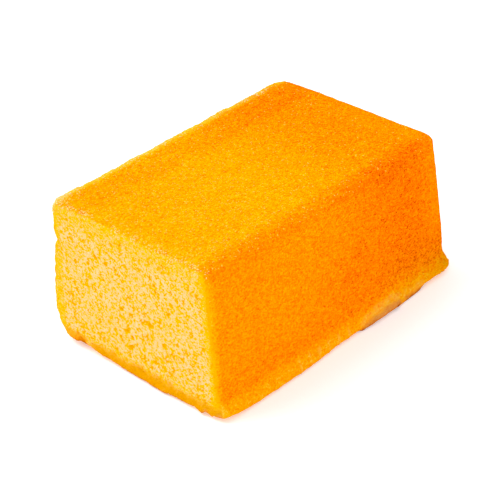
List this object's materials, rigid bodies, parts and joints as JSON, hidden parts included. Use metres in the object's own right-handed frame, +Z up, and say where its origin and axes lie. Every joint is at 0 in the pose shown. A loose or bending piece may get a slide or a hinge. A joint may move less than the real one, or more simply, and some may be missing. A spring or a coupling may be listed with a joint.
{
  "type": "butter cake",
  "caption": "Piece of loaf-shaped butter cake lying tin side up, with a fine open crumb on its cut face, rounded upper edges and a flared foot.",
  "frame": {"origin": "middle of the base of the box round the cake, on the surface that it rests on", "axes": "+Z up, +Y along the loaf away from the cut face, +X across the loaf towards the side with the wider foot"},
  "size_m": [0.0888, 0.1376, 0.0598],
  "materials": {
    "cake": "matt golden crust with a paler open crumb"
  },
  "bodies": {
    "root": {"butter_cake": "cake"}
  },
  "joints": []
}
